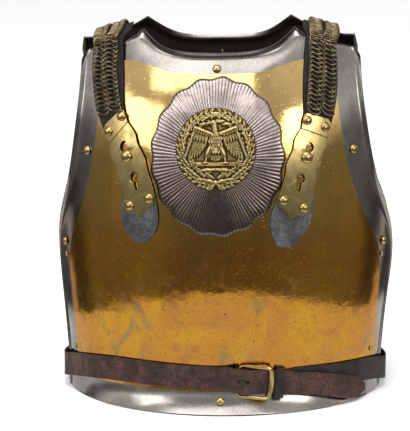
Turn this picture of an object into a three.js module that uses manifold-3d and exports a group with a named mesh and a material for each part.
// Brass-faced steel cuirass: breastplate and backplate joined by two chain-covered shoulder
// straps and a buckled waist belt, with a rayed sun plate and a cast emblem on the breast.
// Millimetres, +Z up, front towards -Y, +X to a viewer's right; right and left in names are the
// wearer's. It stands on its waist rims at z = 0.
import * as THREE from "three";
import { mergeVertices } from "three/addons/utils/BufferGeometryUtils.js";
import Module from "manifold-3d";

const wasm = await Module();
wasm.setup();

// ---- Driving dimensions ----------------------------------------------------------------------

const STEEL_WALL = 1.8;
const BRASS_WALL = 0.9;
const CLEAR = 0.3; // gap kept between touching pieces
const SEAT = CLEAR + BRASS_WALL + 0.6; // height over the steel at which a piece lies on the brass
const MIDDLE = 15.6; // how far the plates' own axis lies behind the middle of the whole piece

const BREAST = {
  side: -1,
  width: [[0, 190], [40, 189.5], [145, 194.8], [185, 197], [230, 196.5], [290, 193], [345, 187],
    [425, 176]],
  depth: [[0, 157], [14, 147], [40, 142], [100, 149], [190, 155], [260, 151], [320, 139], [360, 123],
    [390, 103], [425, 72]],
  edge: [[0, 76], [178, 76], [190, 73], [221, 63.5], [270, 57], [307, 55], [340, 54], [375, 54.5],
    [425, 56]],
  facing: [[0, 64], [150, 64], [180, 63], [204, 57], [229, 52], [258, 48.5], [300, 46], [345, 44.5],
    [425, 44]],
  top: [[0, 389], [0.2, 390], [0.36, 395], [0.46, 403], [0.53, 414], [0.62, 408], [0.8, 402], [1, 397]],
  facingTop: [[0, 376], [0.3, 378], [0.45, 385], [0.6, 389], [0.8, 387], [1, 383]],
  facingFoot: 24,
  armpit: 184,
  drift: 0,
};
const BACK = {
  side: 1,
  width: [[0, 187.4], [40, 186.9], [145, 192.2], [185, 194.4], [230, 194], [290, 190], [345, 184],
    [425, 172]],
  depth: [[0, 118], [14, 108], [40, 103], [100, 112], [200, 126], [280, 124], [330, 112], [370, 94],
    [400, 76], [425, 55]],
  edge: [[0, 100], [150, 100], [165, 92], [195, 70], [240, 56], [300, 52], [350, 54], [385, 59], [425, 62]],
  facing: [[0, 78], [130, 78], [155, 74], [180, 63], [210, 50], [250, 45], [300, 42], [350, 42], [425, 46]],
  top: [[0, 387], [0.2, 388], [0.34, 394], [0.43, 403], [0.516, 416], [0.62, 408], [0.8, 402], [1, 396]],
  facingTop: [[0, 370], [0.3, 373], [0.45, 382], [0.6, 386], [0.8, 385], [1, 381]],
  facingFoot: 24,
  armpit: 160,
  drift: -9,
};
const NECK_HALF = 93;
// The left flank is pressed in towards the waist, and the brass reaches further round it there.
const TUCK = [[0, 12], [45, 10], [105, 7], [135, 4], [170, 2], [200, 0], [425, 0]];
const TUCK_REACH = [[0, 5], [45, 5], [105, 3.7], [170, 1], [200, 0], [425, 0]]; // degrees
const DRIFT_HEIGHTS = [200, 400]; // the backplate sits a little towards its wearer's right above the arms

const LIP = { neck: 7.5, arm: 6.5, side: 3.2, shoulder: 1.2, foot: 2.6 }; // turned-out rims
const LIP_ANGLES = [38, 76]; // degrees turned at each step of a rim
const FOOT_LIFT = 1.4; // the rim's bend line over the floor, before the foot is cut level

const STUD = { arm: 4.6, neck: 4.3, armpit: 4.2, small: 2.6, strap: 4.6, gap: 0.5 }; // radii and gap
const SUN = { x: 0.5, z: 288.5, halfWidth: 73, halfHeight: 84.5, scallops: 17, wave: 1.4, wall: 1 };
const SUN_CLEAR = 0.4;
const EMBLEM = { x: 0, z: 297.5, height: 3 };
const WREATH = { radius: 39, half: 4.6, leaves: 20, notch: 0.9 };

const LEATHER_WALL = 1.5;
const CHAIN = { width: 17.5, height: 4.6, shift: 9.2, first: 9, last: 23 }; // first and last stations
const STRAP_STEPS = 24;
const END_PLATE_WALL = 1;
const STRAP_STUD_HEIGHT = 322; // the end plate's upper studs
const BUTTON = { radius: 6.6, height: 4.4, stem: 2.1 };
const BELT_HALF = 13.8;
const BELT_WALL = 2.2;

// ---- Colours ---------------------------------------------------------------------------------

const finish = (color, roughness, metalness) => () =>
  new THREE.MeshStandardMaterial({ color, roughness, metalness });
const steel = finish(0x8f8d8a, 0.32, 1);
const brass = finish(0xc48a2c, 0.3, 1);
const paleBrass = finish(0xcfae62, 0.3, 1);
const silver = finish(0x9b8678, 0.42, 1);
const gilt = finish(0xb8934a, 0.35, 1);
const chainWire = finish(0x7f6f4c, 0.45, 1);
const blackLeather = finish(0x34312f, 0.62, 0);
const redLeather = finish(0x4f2c22, 0.55, 0);
const brownLeather = finish(0x3c3230, 0.6, 0);

// ---- Curves and surfaces ---------------------------------------------------------------------

// A smooth function through [position, value] pairs.
function smooth(pairs) {
  const last = pairs.length - 1;
  const slope = (i, j) => (pairs[j][1] - pairs[i][1]) / (pairs[j][0] - pairs[i][0]);
  const slopes = pairs.map((_, i) => {
    if (i === 0) return slope(0, 1);
    if (i === last) return slope(last - 1, last);
    return (slope(i - 1, i) + slope(i, i + 1)) / 2;
  });
  return (at) => {
    let k = 0;
    while (k < last - 1 && at > pairs[k + 1][0]) k += 1;
    const span = pairs[k + 1][0] - pairs[k][0];
    const t = THREE.MathUtils.clamp((at - pairs[k][0]) / span, 0, 1);
    const rise = (3 - 2 * t) * t * t;
    const start = t * (1 - t) * (1 - t) * span * slopes[k];
    const end = t * t * (t - 1) * span * slopes[k + 1];
    return pairs[k][1] * (1 - rise) + pairs[k + 1][1] * rise + start + end;
  };
}

const tuck = smooth(TUCK);
const tuckReach = smooth(TUCK_REACH);

// A plate's form: its level cross-section is half an ellipse whose size changes with height.
function makeForm(shape) {
  const width = smooth(shape.width);
  const depth = smooth(shape.depth);
  const facing = smooth(shape.facing);
  const shift = (z) => shape.drift * THREE.MathUtils.smoothstep(z, ...DRIFT_HEIGHTS);
  const tucked = (sine, z) => tuck(z) * Math.max(sine, 0) ** 6;
  const point = (angle, z) => {
    const turn = THREE.MathUtils.degToRad(angle);
    return new THREE.Vector3(
      shift(z) + width(z) * Math.sin(turn) - tucked(Math.sin(turn), z),
      shape.side * depth(z) * Math.cos(turn),
      z,
    );
  };
  const normal = (angle, z) => {
    const across = point(angle + 0.5, z).sub(point(angle - 0.5, z));
    const up = point(angle, z + 0.5).sub(point(angle, z - 0.5));
    return across.cross(up).multiplyScalar(-shape.side).normalize();
  };
  const angleAt = (x, z) => {
    let sine = 0;
    for (let turn = 0; turn < 10; turn += 1) sine = (x - shift(z) + tucked(sine, z)) / width(z);
    return THREE.MathUtils.radToDeg(Math.asin(sine));
  };
  return {
    ...shape,
    point,
    normal,
    angleAt,
    edge: smooth(shape.edge),
    facing: (z, sign) => facing(z) + (sign > 0 ? tuckReach(z) : 0),
    top: smooth(shape.top),
    facingTop: smooth(shape.facingTop),
  };
}

const breast = makeForm(BREAST);
const back = makeForm(BACK);

// The place seen at x, z in the front view, at a height over the plate's steel, and its normal.
function above(form, x, z, height) {
  const foot = new THREE.Vector2(x, z);
  const node = { point: new THREE.Vector3(), normal: new THREE.Vector3() };
  for (let turn = 0; turn < 4; turn += 1) {
    const angle = form.angleAt(foot.x, foot.y);
    node.normal = form.normal(angle, foot.y);
    node.point = form.point(angle, foot.y).addScaledVector(node.normal, height);
    foot.x += x - node.point.x;
    foot.y += z - node.point.z;
  }
  return node;
}

// ---- Solids ----------------------------------------------------------------------------------

function geometryOf(points, faces) {
  const geometry = new THREE.BufferGeometry();
  geometry.setAttribute(
    "position",
    new THREE.Float32BufferAttribute(points.flatMap((p) => [p.x, p.y, p.z]), 3),
  );
  geometry.setIndex(faces.flat());
  return geometry;
}

function quad(a, b, c, d) {
  return [[a, b, c], [a, c, d]];
}

// A closed wall on both sides of a sheet: every point moves along its normal to low and to high.
function thicken({ points, normals, faces }, low, high) {
  const count = points.length;
  const at = (value, i) => (typeof value === "function" ? value(i) : value);
  const moved = (value) => points.map((p, i) => p.clone().addScaledVector(normals[i], at(value, i)));
  const seen = new Set(faces.flatMap(([a, b, c]) => [`${a},${b}`, `${b},${c}`, `${c},${a}`]));
  const walls = [...seen]
    .map((key) => key.split(",").map(Number))
    .filter(([a, b]) => !seen.has(`${b},${a}`))
    .flatMap(([a, b]) => quad(b, a, a + count, b + count));
  const inner = faces.map(([a, b, c]) => [a + count, c + count, b + count]);
  return geometryOf([...moved(high), ...moved(low)], [...faces, ...inner, ...walls]);
}

// A sheet from rows of { point, normal }; rows run upwards and columns rightwards seen from outside.
function sheetOf(rows) {
  const columns = rows[0].length;
  const faces = [];
  for (let j = 0; j < rows.length - 1; j += 1) {
    for (let i = 0; i < columns - 1; i += 1) {
      const a = j * columns + i;
      faces.push(...quad(a, a + 1, a + columns + 1, a + columns));
    }
  }
  const nodes = rows.flat();
  return { points: nodes.map((n) => n.point), normals: nodes.map((n) => n.normal), faces };
}

// A solid through a list of equal rings, closed on itself or with a flat cap at each end.
function loft(rings, closed = false) {
  const size = rings[0].length;
  const faces = [];
  const count = closed ? rings.length : rings.length - 1;
  for (let j = 0; j < count; j += 1) {
    for (let i = 0; i < size; i += 1) {
      const k = (i + 1) % size;
      const next = ((j + 1) % rings.length) * size;
      faces.push(...quad(j * size + i, j * size + k, next + k, next + i));
    }
  }
  if (!closed) {
    const end = (rings.length - 1) * size;
    for (let i = 1; i < size - 1; i += 1) {
      faces.push([0, i + 1, i], [end, end + i, end + i + 1]);
    }
  }
  return outward(geometryOf(rings.flat(), faces));
}

// Turns a closed geometry's faces outwards.
function outward(geometry) {
  const p = geometry.getAttribute("position");
  const index = geometry.index.array;
  const [a, b, c] = [new THREE.Vector3(), new THREE.Vector3(), new THREE.Vector3()];
  let volume = 0;
  for (let i = 0; i < index.length; i += 3) {
    a.fromBufferAttribute(p, index[i]);
    b.fromBufferAttribute(p, index[i + 1]);
    c.fromBufferAttribute(p, index[i + 2]);
    volume += a.dot(b.cross(c));
  }
  if (volume < 0) index.reverse();
  return geometry;
}

function toManifold(geometry) {
  const bare = geometry.clone();
  bare.deleteAttribute("normal");
  bare.deleteAttribute("uv");
  const merged = mergeVertices(bare, 1e-4);
  return new wasm.Manifold(
    new wasm.Mesh({
      numProp: 3,
      vertProperties: Float32Array.from(merged.getAttribute("position").array),
      triVerts: Uint32Array.from(merged.index.array),
    }),
  );
}

function fromManifold(body) {
  const mesh = body.getMesh();
  const geometry = new THREE.BufferGeometry();
  geometry.setAttribute("position", new THREE.BufferAttribute(mesh.vertProperties, 3));
  geometry.setIndex(new THREE.BufferAttribute(mesh.triVerts, 1));
  return geometry;
}

function subtract(geometry, ...tools) {
  return fromManifold(tools.reduce((body, tool) => body.subtract(toManifold(tool)), toManifold(geometry)));
}

// An outline in the front view, raised from the breast between two heights over the steel.
function inlay(outline, low, high, cells = 10) {
  const corners = outline.getPoints(5);
  const box = new THREE.Box2().setFromPoints(corners).expandByScalar(1);
  const rows = [];
  for (let j = 0; j <= cells; j += 1) {
    const z = THREE.MathUtils.lerp(box.min.y, box.max.y, j / cells);
    const row = [];
    for (let i = 0; i <= cells; i += 1) {
      const x = THREE.MathUtils.lerp(box.min.x, box.max.x, i / cells);
      const angle = breast.angleAt(x, z);
      row.push({ point: breast.point(angle, z), normal: breast.normal(angle, z) });
    }
    rows.push(row);
  }
  const slab = thicken(sheetOf(rows), low, high);
  const block = new THREE.ExtrudeGeometry(outline, { depth: 220, bevelEnabled: false, curveSegments: 5 });
  block.rotateX(Math.PI / 2);
  return fromManifold(toManifold(slab).intersect(toManifold(block)));
}

const cuirass = new THREE.Group();

function add(name, geometry, material) {
  const mesh = new THREE.Mesh(geometry, material());
  mesh.name = name;
  cuirass.add(mesh);
  return mesh;
}

// ---- Plates ----------------------------------------------------------------------------------

// Column and row counts: facing cells on each half, border cells, foot, middle and top rows.
const BREAST_CELLS = { half: 9, border: 2, foot: 2, middle: 11, top: 2 };
const BACK_CELLS = { half: 6, border: 2, foot: 2, middle: 8, top: 2 };
const WAIST_SHARE = 0.045; // the first middle row is a short one, at the waist

// The plate's nodes: the facing's own block of cells with a border of cells round it.
function plateRows(form, cells) {
  const columns = cells.half + cells.border;
  const height = (j, u) => {
    const top = form.top(u);
    const facingTop = form.facingTop(u);
    if (j <= cells.foot) {
      return THREE.MathUtils.lerp(FOOT_LIFT, form.facingFoot, j / cells.foot);
    }
    const k = j - cells.foot;
    if (k <= cells.middle) {
      const share = THREE.MathUtils.lerp(WAIST_SHARE, 1, (k - 1) / (cells.middle - 1));
      return THREE.MathUtils.lerp(form.facingFoot, facingTop, share);
    }
    return THREE.MathUtils.lerp(facingTop, top, (k - cells.middle) / cells.top);
  };
  const across = (i, z) => {
    const facing = form.facing(z, Math.sign(i)) / form.edge(z);
    const column = Math.abs(i);
    if (column <= cells.half) return facing * (column / cells.half);
    return THREE.MathUtils.lerp(facing, 1, (column - cells.half) / cells.border);
  };
  const rows = [];
  for (let j = 0; j <= cells.foot + cells.middle + cells.top; j += 1) {
    const row = [];
    for (let i = -columns; i <= columns; i += 1) {
      const rough = height(j, across(i, 300));
      const u = across(i, rough);
      const z = height(j, u);
      const angle = Math.sign(i) * u * form.edge(z);
      row.push({ point: form.point(angle, z), normal: form.normal(angle, z) });
    }
    rows.push(row);
  }
  return form.side < 0 ? rows : rows.map((row) => row.reverse());
}

// The steel sheet: the plate's nodes with its edge turned outwards in steps of a rim.
function steelSheet(form, cells, lips) {
  const rows = plateRows(form, cells);
  const width = rows[0].length;
  const sheet = sheetOf(rows);
  const loop = [];
  for (let i = 0; i < width; i += 1) loop.push(i);
  for (let j = 1; j < rows.length; j += 1) loop.push(j * width + width - 1);
  for (let i = width - 2; i >= 0; i -= 1) loop.push((rows.length - 1) * width + i);
  for (let j = rows.length - 2; j > 0; j -= 1) loop.push(j * width);
  const size = loop.length;
  let previous = loop;
  LIP_ANGLES.forEach((degrees) => {
    const turn = THREE.MathUtils.degToRad(degrees);
    const ring = loop.map((node, k) => {
      const point = sheet.points[node];
      const normal = sheet.normals[node];
      const ahead = sheet.points[loop[(k + 1) % size]];
      const behind = sheet.points[loop[(k + size - 1) % size]];
      const off = ahead.clone().sub(behind).cross(normal).normalize();
      const radius = lips(point);
      const moved = point.clone().addScaledVector(off, radius * Math.sin(turn));
      moved.addScaledVector(normal, radius * (1 - Math.cos(turn)));
      return sheet.points.push(moved) - 1;
    });
    ring.forEach((node, k) => {
      const next = (k + 1) % size;
      sheet.faces.push(...quad(previous[k], node, ring[next], previous[next]));
    });
    previous = ring;
  });
  const geometry = geometryOf(sheet.points, sheet.faces);
  geometry.computeVertexNormals();
  const n = geometry.getAttribute("normal");
  sheet.normals = sheet.points.map((_, i) => new THREE.Vector3().fromBufferAttribute(n, i));
  return sheet;
}

// How far the rim turns out at a point of the plate's edge.
function lipAt(form, sideLip) {
  return (point) => {
    const x = Math.abs(point.x - form.drift);
    if (point.z < FOOT_LIFT + 1) return LIP.foot;
    if (point.z < form.armpit) return sideLip;
    if (point.z > 380 && x < NECK_HALF) return LIP.neck;
    if (point.z > 394 && x < 152) return LIP.shoulder;
    return LIP.arm;
  };
}

const floor = new THREE.BoxGeometry(600, 600, 20).translate(0, 0, -10);

function plate(form, cells, sideLip) {
  const wall = thicken(steelSheet(form, cells, lipAt(form, sideLip)), -STEEL_WALL, 0);
  return subtract(wall, floor);
}

function facing(form, cells) {
  const rows = plateRows(form, cells)
    .slice(cells.foot, cells.foot + cells.middle + 1)
    .map((row) => row.slice(cells.border, row.length - cells.border));
  return thicken(sheetOf(rows), CLEAR, CLEAR + BRASS_WALL);
}

add("breastplate", plate(breast, BREAST_CELLS, LIP.side), steel);
add("breast_facing", facing(breast, BREAST_CELLS), brass);
add("backplate", plate(back, BACK_CELLS, 0.4), steel);
add("back_facing", facing(back, BACK_CELLS), brass);

// ---- Sun plate and emblem --------------------------------------------------------------------

const skinNode = (x, z) => {
  const angle = breast.angleAt(x, z);
  return { point: breast.point(angle, z), normal: breast.normal(angle, z) };
};

// Rings of nodes round a centre: place(ring, turn) gives x and z of each node.
function roundSheet(count, steps, place, centre) {
  const nodes = centre ? [skinNode(centre.x, centre.z)] : [];
  const first = nodes.length;
  const faces = [];
  for (let k = 0; k < count; k += 1) {
    for (let i = 0; i < steps; i += 1) {
      const at = place(k, (i / steps) * 2 * Math.PI);
      nodes.push(skinNode(at.x, at.z));
      const next = (i + 1) % steps;
      const outer = first + k * steps;
      if (k === 0 && centre) faces.push([0, outer + i, outer + next]);
      if (k > 0) faces.push(...quad(outer - steps + i, outer + i, outer + next, outer - steps + next));
    }
  }
  return { points: nodes.map((n) => n.point), normals: nodes.map((n) => n.normal), faces };
}

function sunPlate() {
  const rings = 3;
  const place = (k, turn) => {
    const share = (k + 1) / rings;
    const wave = k === rings - 1 ? SUN.wave * Math.cos(SUN.scallops * turn) : 0;
    return {
      x: SUN.x + (SUN.halfWidth * share + wave) * Math.cos(turn),
      z: SUN.z + (SUN.halfHeight * share + wave) * Math.sin(turn),
    };
  };
  const sheet = roundSheet(rings, SUN.scallops * 3, place, SUN);
  return thicken(sheet, SEAT, SEAT + SUN.wall);
}

// A ring of paired leaves, raised highest along its middle.
function wreath() {
  const steps = WREATH.leaves * 2;
  const place = (k, turn) => {
    const leaf = WREATH.notch * Math.cos(WREATH.leaves * turn) * (k - 1);
    const radius = WREATH.radius + WREATH.half * (k - 1) + leaf;
    return { x: EMBLEM.x + radius * Math.cos(turn), z: EMBLEM.z + radius * Math.sin(turn) };
  };
  const foot = SEAT + SUN.wall + SUN_CLEAR;
  const crest = (i) => {
    const middle = Math.floor(i / steps) === 1;
    return foot + (middle ? EMBLEM.height - 0.8 * (i % 2) : EMBLEM.height * 0.4);
  };
  return thicken(roundSheet(3, steps, place), foot, crest);
}

// An eagle with spread, drooping wings that stands on a thunderbolt.
function eagle() {
  const wing = [[8, 20], [16, 26.5], [23, 25], [30, 16], [33.5, 4], [33, -8], [29.5, -4.5], [27.5, -10],
    [24, -4.5], [21.5, -9], [18, -3], [14.5, -7], [10.5, -3.5]];
  const bolt = [[8.5, -10.5], [26, -11.2], [30, -14.5], [26, -18], [4, -17.2]];
  const half = [[3.5, 22.5], ...wing, ...bolt];
  const crown = [[-9, 25.5], [-5, 29.8], [-0.5, 30], [1.8, 27]];
  const left = half.map(([x, z]) => [-x, z]).reverse();
  const outline = new THREE.Shape(
    [...crown, ...half, ...left].map(([x, z]) => new THREE.Vector2(EMBLEM.x + x, EMBLEM.z + z)),
  );
  const foot = SEAT + SUN.wall + SUN_CLEAR;
  return inlay(outline, foot, foot + EMBLEM.height, 5);
}

add("sun_plate", sunPlate(), silver);
add("emblem_wreath", wreath(), gilt);
add("emblem_eagle", eagle(), gilt);

// ---- Studs and rivets ------------------------------------------------------------------------

function stud(name, place, normal, radius, material = paleBrass) {
  const profile = [[0, 0], [radius, 0], [radius * 0.74, radius * 0.42], [0, radius * 0.62]];
  const geometry = new THREE.LatheGeometry(profile.map(([x, y]) => new THREE.Vector2(x, y)), 8);
  const mesh = add(name, geometry, material);
  mesh.position.copy(place);
  mesh.quaternion.setFromUnitVectors(new THREE.Vector3(0, 1, 0), normal);
}

function plateStud(name, form, angle, z, radius, gap = STUD.gap) {
  const place = form.point(angle, z).addScaledVector(form.normal(angle, z), gap);
  stud(name, place, form.normal(angle, z), radius);
}

plateStud("neck_stud", breast, 0, 382, STUD.neck);
plateStud("foot_stud", breast, 0, 13.5, STUD.neck, 1.1);
plateStud("back_neck_stud", back, 0, 378, STUD.neck);
plateStud("back_foot_stud", back, 0, 13.5, STUD.neck, 1.1);
plateStud("hip_rivet_right", breast, -67.5, 52, STUD.small);
plateStud("hip_rivet_left", breast, 64.2, 52, STUD.small, SEAT);
for (const [hand, sign] of [["right", -1], ["left", 1]]) {
  plateStud(`arm_stud_${hand}`, breast, sign * 50.3, 289.5, STUD.arm);
  plateStud(`armpit_stud_${hand}`, breast, sign * 68, 178, STUD.armpit);
  plateStud(`side_rivet_${hand}`, breast, sign * 67.5, 163, STUD.small);
  plateStud(`back_arm_stud_${hand}`, back, sign * 47.5, 289.5, STUD.arm);
}

// ---- Routes of straps and belts --------------------------------------------------------------

// A ribbon's route: each knot gives a point for a distance w across the ribbon.
function makeRoute(knots) {
  const curves = new Map();
  const curve = (w) => {
    if (!curves.has(w)) {
      const points = knots.map((knot) => knot(w));
      curves.set(w, new THREE.CatmullRomCurve3(points, false, "centripetal"));
    }
    return curves.get(w);
  };
  const node = (t, w) => {
    const point = curve(w).getPoint(t);
    const along = curve(w).getTangent(t);
    const across = curve(w + 1).getPoint(t).sub(curve(w - 1).getPoint(t));
    return { point, along, across: across.normalize(), normal: across.clone().cross(along).normalize() };
  };
  return { node, last: knots.length - 1 };
}

// Stations along a route, given as knot numbers and a number of steps between them.
function stations(route, from, to, steps) {
  const share = (i) => THREE.MathUtils.lerp(from, to, i / steps) / route.last;
  return Array.from({ length: steps + 1 }, (_, i) => share(i));
}

// ---- Shoulder straps -------------------------------------------------------------------------

// Each strap's middle line, from its tip up the breast, over the shoulder and down the back.
const STRAPS = {
  right: {
    tip: [[-88.5, 195], [-86.5, 207], [-85.5, 222], [-86, 243], [-90.5, 265], [-99.5, 290], [-110, 315],
      [-118, 334], [-121.5, 355], [-122, 385]],
    shoulder: -121.5,
    back: -126,
    chain: -5,
    skew: 0.3,
  },
  left: {
    tip: [[72, 190], [75.5, 205], [80, 221], [86, 243], [91.5, 265], [99, 290], [107, 315],
      [111, 334], [112.5, 355], [112.5, 385]],
    shoulder: 112.5,
    back: 110,
    chain: 2.5,
    skew: -0.12,
  },
};
// Half widths of the leather at its knots, from the tip to the back end.
const STRAP_HALVES = [
  8, 19, 24, 21, 17.5, 17.5, 17.5, 20, 22.5, 22.5, 21.5, 20, 20, 20, 20, 20, 21, 22, 22, 20,
];
const SHOULDER_FALL = 0.28; // the straps slope down towards the arms over the gap

// A knot on a plate's skin; the ribbon's width runs square to its course.
function skinKnot(form, x, z, lean, height) {
  return (w) => {
    const slope = Math.cos(THREE.MathUtils.degToRad(form.angleAt(x, z)));
    return above(form, x + w * Math.cos(lean) * slope, z + w * Math.sin(lean), height).point;
  };
}

function strapRoute({ tip, shoulder, back: backX }) {
  const knots = tip.map(([x, z], i) => {
    const [ahead, behind] = [tip[Math.min(i + 1, tip.length - 1)], tip[Math.max(i - 1, 0)]];
    const lean = Math.atan2(behind[0] - ahead[0], ahead[1] - behind[1]);
    return skinKnot(breast, x, z, lean, SEAT);
  });
  const fall = -Math.sign(shoulder) * SHOULDER_FALL;
  const free = (x, y, z) => (w) => new THREE.Vector3(x + w, y, z + w * fall);
  knots.push(skinKnot(breast, shoulder, 398, fall, 2.6));
  knots.push(skinKnot(breast, shoulder, 407.5, fall, 4.7));
  knots.push(free(shoulder, -42, 412));
  knots.push(free((shoulder + backX) / 2, -8, 413.2));
  knots.push(free(backX, 24, 413.4));
  knots.push(skinKnot(back, backX, 407.5, fall, 5.5));
  knots.push(skinKnot(back, backX, 397, fall, 2.8));
  knots.push(skinKnot(back, backX, 384, 0, SEAT + 0.3));
  knots.push(skinKnot(back, backX, 362, 0, SEAT + 0.2));
  knots.push(skinKnot(back, backX, 340, 0, SEAT + 0.2));
  return makeRoute(knots);
}

const strapStations = Array.from({ length: STRAP_STEPS + 1 }, (_, i) => i / STRAP_STEPS);

function strapLeather(route) {
  const half = smooth(STRAP_HALVES.map((value, i) => [i, value]));
  const rows = strapStations.map((t) => {
    const reach = half(t * route.last);
    return [-1, -1 / 3, 1 / 3, 1].map((share) => route.node(t, share * reach));
  });
  return thicken(sheetOf(rows), 0, LEATHER_WALL);
}

// A row of wire links as one flat tube on the leather.
function chainTube(route, shift, settle) {
  const foot = LEATHER_WALL + 1.1;
  const rings = strapStations.slice(CHAIN.first, CHAIN.last + 1).map((t) => {
    const ease = THREE.MathUtils.smoothstep(t * route.last, 7.5, 9);
    const middle = shift + settle * ease;
    const half = CHAIN.width / 2;
    const at = (w, height) => {
      const { point, normal } = route.node(t, middle + w);
      return point.addScaledVector(normal, foot + height);
    };
    return [
      at(-half + 1.5, 0),
      at(half - 1.5, 0),
      at(half, CHAIN.height / 2),
      at(half - 2.5, CHAIN.height),
      at(-half + 2.5, CHAIN.height),
      at(-half, CHAIN.height / 2),
    ];
  });
  return loft(rings);
}

// A keyhole in an end plate: a round hole with a slot below it, as an outline round 0, 0.
function keyhole(radius, slot, length) {
  const outline = new THREE.Path();
  const mouth = Math.asin(slot / radius);
  outline.absarc(0, 0, radius, mouth - Math.PI / 2, (3 * Math.PI) / 2 - mouth, false);
  outline.lineTo(-slot, -length + slot);
  outline.absarc(0, -length + slot, slot, Math.PI, 2 * Math.PI, false);
  return outline;
}

// Half the end plate's outline from its top to its point, as distance across and along the strap.
const PLATE_SIDE = [[14, 8], [18.5, 5], [18.6, -2], [17.2, -10], [20, -19], [21.2, -25], [18.8, -35],
  [20.2, -44], [21.2, -52], [18.8, -64], [19.6, -74], [20.4, -84], [20.6, -90], [17, -96], [10, -97.5], [4, -101],
  [0, -107]];
const PLATE_STUDS = [[-12.6, 0], [12.6, 0], [-13, -88.5], [13, -88.5]];
const KEYHOLES = [{ at: -26, length: 15 }, { at: -60, length: 15 }];
const KEYHOLE = { radius: 5.6, slot: 2.9 };

// A place on the front view for a distance across and along a strap from its upper studs.
function strapPlace({ tip, skew }) {
  const line = new THREE.CatmullRomCurve3(
    tip.slice(1, 9).reverse().map(([x, z]) => new THREE.Vector3(x, 0, z)),
    false,
    "centripetal",
  );
  const length = line.getLength();
  const start = (tip[8][1] - STRAP_STUD_HEIGHT) / length;
  return (w, s) => {
    const at = THREE.MathUtils.clamp(start - (s + w * skew) / length, 0, 1);
    const middle = line.getPointAt(at);
    const along = line.getTangentAt(at);
    const slope = Math.cos(THREE.MathUtils.degToRad(breast.angleAt(middle.x, middle.z)));
    return new THREE.Vector2(middle.x - w * along.z * slope, middle.z + w * along.x);
  };
}

function holeOutlines(place, grow) {
  return KEYHOLES.map(({ at, length }) => {
    const points = keyhole(KEYHOLE.radius + grow, KEYHOLE.slot + grow, length + grow).getPoints(4);
    return new THREE.Path(points.map((p) => place(p.x, at + p.y)));
  });
}

function endPlate(place) {
  const right = PLATE_SIDE.map(([w, s]) => place(w, s));
  const left = PLATE_SIDE.slice(0, -1).map(([w, s]) => place(-w, s)).reverse();
  const outline = new THREE.Shape([...right, ...left]);
  outline.holes = holeOutlines(place, 0);
  const foot = SEAT + LEATHER_WALL + 0.5;
  return inlay(outline, foot, foot + END_PLATE_WALL, 6);
}

// Cutters for the leather behind the keyholes.
function holeCutters(place) {
  return holeOutlines(place, 0.4).map((path) => {
    const block = new THREE.ExtrudeGeometry(new THREE.Shape(path.getPoints(4)), {
      depth: 220,
      bevelEnabled: false,
    });
    return block.rotateX(Math.PI / 2);
  });
}

// The breast's button: a stem through the slot and a domed head over the end plate.
function button(name, place) {
  const { x, y: z } = place(0, KEYHOLES[0].at - KEYHOLES[0].length + KEYHOLE.slot + 1);
  const seat = SEAT + LEATHER_WALL + END_PLATE_WALL + 1.1;
  const { point, normal } = above(breast, x, z, SEAT + LEATHER_WALL);
  const foot = CLEAR + BRASS_WALL + CLEAR;
  const head = seat - foot;
  const profile = [[0, 0], [BUTTON.stem, 0], [BUTTON.stem, head], [BUTTON.radius, head],
    [BUTTON.radius * 0.74, head + BUTTON.height * 0.65], [0, head + BUTTON.height]];
  const geometry = new THREE.LatheGeometry(profile.map(([r, h]) => new THREE.Vector2(r, h)), 8);
  const mesh = add(name, geometry, paleBrass);
  mesh.position.copy(point.addScaledVector(normal, foot - SEAT - LEATHER_WALL));
  mesh.quaternion.setFromUnitVectors(new THREE.Vector3(0, 1, 0), normal);
}

for (const [hand, strap] of Object.entries(STRAPS)) {
  const route = strapRoute(strap);
  const place = strapPlace(strap);
  add(`strap_leather_${hand}`, subtract(strapLeather(route), ...holeCutters(place)), blackLeather);
  const shift = Math.sign(strap.chain) * CHAIN.shift;
  add(`strap_chain_inner_${hand}`, chainTube(route, -shift, strap.chain), chainWire);
  add(`strap_chain_outer_${hand}`, chainTube(route, shift, strap.chain), chainWire);
  add(`end_plate_${hand}`, endPlate(place), paleBrass);
  button(`button_${hand}`, place);
  PLATE_STUDS.forEach(([w, s], i) => {
    const { x, y: z } = place(w, s);
    const { point, normal } = above(breast, x, z, SEAT + LEATHER_WALL + END_PLATE_WALL + 0.9);
    stud(`plate_stud_${hand}_${i + 1}`, point, normal, STUD.strap);
  });
}

// ---- Waist belt ------------------------------------------------------------------------------

// The belt's middle line on the breast: degrees round the plate and height over the floor.
const belt = {
  height: smooth([[-76, 25], [-64.8, 32], [-38, 41.5], [-11, 40.5], [6, 38.8], [17.8, 34.6],
    [36, 25.5], [50, 15.5], [60, 11]]),
};

// A knot at an angle and height on a plate; the ribbon's width runs up the plate.
function beltKnot(form, angle, z, height) {
  return (w) => {
    const place = form.point(angle, z + w);
    return place.addScaledVector(form.normal(angle, z + w), height);
  };
}

function ribbon(route, from, to, steps, halves, low, high) {
  const along = stations(route, from, to, steps);
  const rows = [-1, 0, 1].map((share) => along.map((t) => {
    const { point, across, along: course } = route.node(t, share * halves(t * route.last));
    return { point, normal: course.clone().cross(across).normalize() };
  }));
  return thicken(sheetOf(rows), low, high);
}

const BUCKLE = { x: 19.5, z: 38.6, tilt: 6, width: 37, half: 17.2 };
const KEEPER = { from: 42, to: 52, half: 14.6, wall: 1.2, top: 8.2 };
const HEIGHT = { belt: 2.6, ply: 4.1, bar: 5.7, upper: 7.3, billet: 9.2, low: 5, right: 9.5 };

// A place on the belt by its buckle: along and across the belt from the left bar's middle.
function onBelt(along, across, height) {
  const tilt = THREE.MathUtils.degToRad(BUCKLE.tilt);
  const x = BUCKLE.x + along * Math.cos(tilt) + across * Math.sin(tilt);
  const z = BUCKLE.z - along * Math.sin(tilt) + across * Math.cos(tilt);
  return above(breast, x, z, height).point;
}

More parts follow.
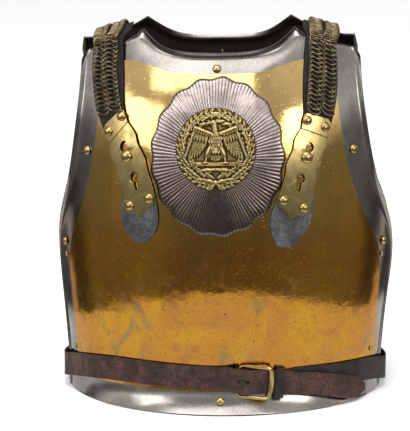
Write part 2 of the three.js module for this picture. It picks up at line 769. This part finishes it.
const buckleKnots = (line) => line.map(([along, height]) => (w) => onBelt(along, w, height));

// The long end: from its rivets on the backplate round to its tip, over the buckle's left bar.
function billet() {
  const knots = [
    beltKnot(back, -52, 19, SEAT + 0.2),
    beltKnot(back, -66, 19.5, SEAT + 0.2),
    beltKnot(back, -84, 21, 4),
  ];
  const { belt: seat, billet: crest, low } = HEIGHT;
  const onBreast = (line) => line.map(([angle, height]) =>
    beltKnot(breast, angle, belt.height(angle), height));
  const around = [[-79, 5.6], [-74, 6.2], [-69, 3.9], [-62, seat], [-50, seat], [-38, seat],
    [-25, seat], [-12, seat], [0, seat]];
  const overBuckle = [[-10, 4.4], [-4.3, crest - 0.7], [1.5, crest], [15.5, crest],
    [21.5, crest - 1.2], [31, low], [45, low]];
  const onward = [[26, low], [34, low], [42, low], [50, low], [57, low]];
  knots.push(...onBreast(around), ...buckleKnots(overBuckle), ...onBreast(onward));
  const route = makeRoute(knots);
  const tip = smooth([[0, BELT_HALF], [20, BELT_HALF], [21, BELT_HALF], [22, 12.6], [23, 4]]);
  return ribbon(route, 0, route.last, 44, tip, 0, BELT_WALL);
}

// The short end: folded round the buckle's left bar, then under the long end to the other side.
function shortEnd() {
  const heights = smooth([[7, 38.8], [18, 35.6], [37.8, 34.5], [62, 30], [80, 20]]);
  const knots = [];
  const { upper, bar, ply } = HEIGHT;
  const fold = [[16.8, upper], [8.3, upper], [0.6, upper], [-1.4, bar + 1.1], [-2, bar],
    [-1.4, bar - 1.1], [0.6, ply], [8.3, ply], [23, ply], [37, ply], [50, ply]];
  const onward = [[26, ply], [36, ply], [48, ply], [60, ply], [68, 5.6], [74, 8.4], [79, 8.2]];
  knots.push(...buckleKnots(fold));
  onward.forEach(([angle, height]) => knots.push(beltKnot(breast, angle, heights(angle), height)));
  knots.push(beltKnot(back, 84, 17, 6));
  knots.push(beltKnot(back, 66, 16.5, SEAT + LEATHER_WALL + 0.2));
  knots.push(beltKnot(back, 52, 16.5, SEAT + LEATHER_WALL + 0.2));
  return ribbon(makeRoute(knots), 0, knots.length - 1, 40, () => 13.2, -LEATHER_WALL, 0);
}

// The square frame, its right bar bowed and broad and its left bar thin under the long end.
function buckleFrame() {
  const { width, half } = BUCKLE;
  const round = [
    [0, -half, 0, 1, HEIGHT.bar, 0.9],
    [0, 0, -1, 0, HEIGHT.bar, 0.9],
    [0, half, 0, -1, HEIGHT.bar, 0.9],
    [10, half, 0, -1.5, HEIGHT.bar + 1.2, 1.3],
    [24, half, 0, -1.5, HEIGHT.right - 0.8, 1.3],
    [width - 2, half, -1.5, -1.5, HEIGHT.right, 1.3],
    [width, half - 5, -2.2, 0, HEIGHT.right + 0.2, 1.3],
    [width + 1.2, 0, -2.6, 0, HEIGHT.right + 0.4, 1.4],
    [width, 5 - half, -2.2, 0, HEIGHT.right + 0.2, 1.3],
    [width - 2, -half, -1.5, 1.5, HEIGHT.right, 1.3],
    [24, -half, 0, 1.5, HEIGHT.right - 0.8, 1.3],
    [10, -half, 0, 1.5, HEIGHT.bar + 1.2, 1.3],
  ];
  const rings = round.map(([along, across, inX, inZ, height, thick], i) => {
    const side = i < 3 ? { x: i === 1 ? 0.9 : 0.6, z: [0.7, 0, -0.7][i] } : { x: inX, z: inZ };
    return [
      onBelt(along - side.x, across - side.z, height - thick),
      onBelt(along + side.x, across + side.z, height - thick),
      onBelt(along + side.x, across + side.z, height + thick),
      onBelt(along - side.x, across - side.z, height + thick),
    ];
  });
  return loft(rings, true);
}

// A square rod through places along the belt, for the prong.
function prong() {
  const half = 0.9;
  const course = [[2.4, HEIGHT.bar + 0.2], [3, 10.8], [4.6, 12.4], [9.4, 12.4], [11.4, 9.4]];
  const rings = course.map(([along, height], i) => {
    const [ahead, behind] = [course[Math.min(i + 1, 4)], course[Math.max(i - 1, 0)]];
    const turn = Math.atan2(ahead[1] - behind[1], ahead[0] - behind[0]);
    const [a, h] = [-Math.sin(turn) * half, Math.cos(turn) * half];
    return [
      onBelt(along - a, -half, height - h),
      onBelt(along - a, half, height - h),
      onBelt(along + a, half, height + h),
      onBelt(along + a, -half, height + h),
    ];
  });
  return loft(rings);
}

// The slot in both leathers that the prong comes up through.
function prongSlot() {
  const corners = [[1.3, -1.5], [13, -1.5], [13, 1.5], [1.3, 1.5]];
  const ring = (height) => corners.map(([along, across]) => onBelt(along, across, height));
  return loft([ring(HEIGHT.bar - 0.6), ring(16)]);
}

// A leather loop over both ends, its feet sewn to the edges of the short end.
function keeper() {
  const { from, to, half, wall, top } = KEEPER;
  const rings = [from, to].map((along) => [
    onBelt(along, -half, HEIGHT.belt),
    onBelt(along, -half, top),
    onBelt(along, 0, top + 0.3),
    onBelt(along, half, top),
    onBelt(along, half, HEIGHT.belt),
    onBelt(along, half + wall, HEIGHT.belt),
    onBelt(along, half + wall, top + wall),
    onBelt(along, 0, top + wall + 0.3),
    onBelt(along, -half - wall, top + wall),
    onBelt(along, -half - wall, HEIGHT.belt),
  ]);
  return strip(rings, 5);
}

// A bent strip between two equal outlines whose points run down one face and back up the other.
function strip([first, last], half) {
  const size = first.length;
  const faces = [];
  for (let i = 0; i < size; i += 1) {
    const k = (i + 1) % size;
    faces.push(...quad(i, k, size + k, size + i));
  }
  for (let i = 0; i < half; i += 1) {
    const back = (k) => size - 1 - k;
    if (i < half - 1) {
      const cap = quad(i, back(i), back(i + 1), i + 1);
      faces.push(...cap, ...cap.map(([a, b, c]) => [a + size, c + size, b + size]));
    }
  }
  return outward(geometryOf([...first, ...last], faces));
}

const slot = prongSlot();
add("belt_long_end", subtract(billet(), slot), redLeather);
add("belt_short_end", subtract(shortEnd(), slot), brownLeather);
add("buckle_frame", buckleFrame(), paleBrass);
add("buckle_prong", prong(), steel);
add("belt_keeper", keeper(), brownLeather);

// ---- Rivets of the belt and straps on the backplate -------------------------------------------

for (const [hand, sign, gap] of [["right", -1, BELT_WALL], ["left", 1, LEATHER_WALL]]) {
  [55, 62].forEach((angle, i) => {
    const z = sign < 0 ? 19.2 : 16.5;
    const height = SEAT + gap + 0.8;
    const place = back.point(sign * angle, z).addScaledVector(back.normal(sign * angle, z), height);
    stud(`belt_rivet_${hand}_${i + 1}`, place, back.normal(sign * angle, z), STUD.small);
  });
  const x = STRAPS[hand].back;
  [-11, 11].forEach((w, i) => {
    const z = 345;
    const angle = back.angleAt(x + w, z);
    const height = SEAT + LEATHER_WALL + 0.9;
    const place = back.point(angle, z).addScaledVector(back.normal(angle, z), height);
    stud(`strap_rivet_${hand}_${i + 1}`, place, back.normal(angle, z), STUD.small);
  });
}

cuirass.position.y = MIDDLE;
export default cuirass;
